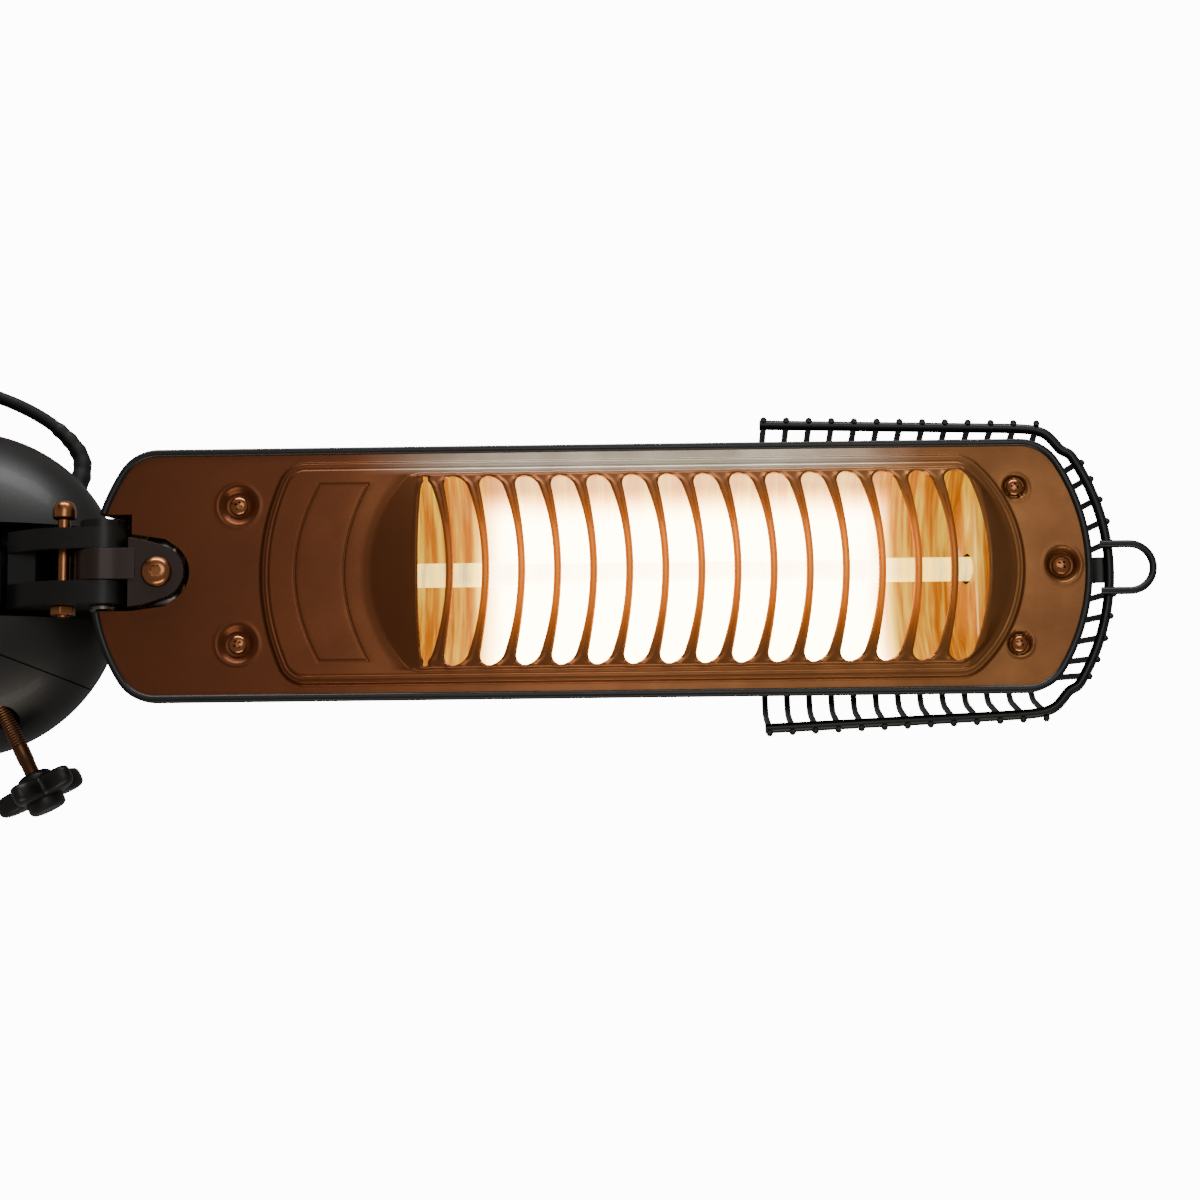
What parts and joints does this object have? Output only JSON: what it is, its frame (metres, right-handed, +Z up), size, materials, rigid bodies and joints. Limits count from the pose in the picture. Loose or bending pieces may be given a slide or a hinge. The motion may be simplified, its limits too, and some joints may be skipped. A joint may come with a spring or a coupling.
{
  "type": "infrared heater head on a pole clamp",
  "caption": "Slotted infrared lamp heater head with a wire guard and pull ring, hinged to a domed hub that clamps round a pole with a hand screw.",
  "frame": {"origin": "on the pole axis, at the height of the hub's widest ring, where the clamp holds the pole", "axes": "+X from the pole along the heater head, +Z up along the pole, so the heater faces -Z"},
  "size_m": [0.6338, 0.2249, 0.2744],
  "materials": {
    "hub_core": "satin black",
    "hub_upper_shell": "satin black",
    "hub_cover_a": "satin black",
    "hub_cover_b": "satin black",
    "hub_cover_c": "satin black",
    "hinge_ears": "satin black",
    "ear_screw_a": "zinc plated",
    "ear_screw_b": "zinc plated",
    "hinge_pin": "zinc plated",
    "friction_bolt": "bright plated",
    "friction_nut": "bright plated",
    "pole_liner": "matt black",
    "clamp_insert": "plain",
    "cable_gland": "matt black",
    "gland_nut": "matt black",
    "hub_terminal_block": "unglazed",
    "shell_screw_a": "zinc plated",
    "shell_screw_b": "zinc plated",
    "shell_screw_c": "zinc plated",
    "mains_cord": "matt black",
    "cord_coil": "matt black",
    "coil_tie": "matt black",
    "plug_body": "matt black",
    "plug_pin_a": "plain",
    "plug_pin_b": "plain",
    "clamp_pad": "matt black",
    "clamp_screw": "bright plated",
    "star_knob": "matt black",
    "head_casing": "gloss black",
    "front_panel": "satin",
    "panel_screw_a": "bright plated",
    "panel_screw_b": "bright plated",
    "panel_screw_c": "bright plated",
    "panel_screw_d": "bright plated",
    "guard_screw": "bright plated",
    "panel_post_a": "plain",
    "panel_post_b": "plain",
    "panel_post_c": "plain",
    "panel_post_d": "plain",
    "reflector": "bright",
    "reflector_end_left": "bright",
    "reflector_end_right": "bright",
    "quartz_tube": "clear quartz",
    "lamp_filament": "glowing",
    "ceramic_cap_left": "unglazed",
    "ceramic_cap_right": "unglazed",
    "lamp_clip_left": "plain",
    "lamp_clip_right": "plain",
    "lamp_terminal_block": "unglazed",
    "heat_shield": "bright",
    "wire_guard": "satin black",
    "guard_bracket": "satin black",
    "pull_ring": "satin black",
    "guard_saddle": "satin black",
    "arm_bracket": "satin black",
    "bracket_screw": "bright plated",
    "bracket_plate": "plain"
  },
  "bodies": {
    "hub": {"hub_core": "hub_core", "hub_upper_shell": "hub_upper_shell", "hub_cover_a": "hub_cover_a", "hub_cover_b": "hub_cover_b", "hub_cover_c": "hub_cover_c", "hinge_ears": "hinge_ears", "ear_screw_a": "ear_screw_a", "ear_screw_b": "ear_screw_b", "hinge_pin": "hinge_pin", "friction_bolt": "friction_bolt", "friction_nut": "friction_nut", "pole_liner": "pole_liner", "clamp_insert": "clamp_insert", "cable_gland": "cable_gland", "gland_nut": "gland_nut", "hub_terminal_block": "hub_terminal_block", "shell_screw_a": "shell_screw_a", "shell_screw_b": "shell_screw_b", "shell_screw_c": "shell_screw_c", "mains_cord": "mains_cord", "cord_coil": "cord_coil", "coil_tie": "coil_tie", "plug_body": "plug_body", "plug_pin_a": "plug_pin_a", "plug_pin_b": "plug_pin_b"},
    "clamp_pad": {"clamp_pad": "clamp_pad"},
    "clamp_screw": {"clamp_screw": "clamp_screw", "star_knob": "star_knob"},
    "head": {"head_casing": "head_casing", "front_panel": "front_panel", "panel_screw_a": "panel_screw_a", "panel_screw_b": "panel_screw_b", "panel_screw_c": "panel_screw_c", "panel_screw_d": "panel_screw_d", "guard_screw": "guard_screw", "panel_post_a": "panel_post_a", "panel_post_b": "panel_post_b", "panel_post_c": "panel_post_c", "panel_post_d": "panel_post_d", "reflector": "reflector", "reflector_end_left": "reflector_end_left", "reflector_end_right": "reflector_end_right", "quartz_tube": "quartz_tube", "lamp_filament": "lamp_filament", "ceramic_cap_left": "ceramic_cap_left", "ceramic_cap_right": "ceramic_cap_right", "lamp_clip_left": "lamp_clip_left", "lamp_clip_right": "lamp_clip_right", "lamp_terminal_block": "lamp_terminal_block", "heat_shield": "heat_shield", "wire_guard": "wire_guard", "guard_bracket": "guard_bracket", "pull_ring": "pull_ring", "guard_saddle": "guard_saddle", "arm_bracket": "arm_bracket", "bracket_screw": "bracket_screw", "bracket_plate": "bracket_plate"}
  },
  "joints": [
    {"name": "arm_tilt", "type": "hinge", "parent": "hub", "child": "head", "pos_m": [0.0787, -0.0052, -0.047], "axis": [0, 1, 0], "range_deg": [0, 90]},
    {"name": "pad_slide", "type": "slide", "parent": "hub", "child": "clamp_pad", "axis": [-0.4384, -0.8988, 0], "range_m": [0, 0.0101]},
    {"name": "clamp_screw_turn", "type": "hinge", "parent": "clamp_pad", "child": "clamp_screw", "pos_m": [0, 0, -0.022], "axis": [-0.4384, -0.8988, 0], "range_deg": [0, 2880]}
  ],
  "couplings": [
    {"joint": "pad_slide", "follows": "clamp_screw_turn", "m_per_rad": 0.00019894}
  ]
}
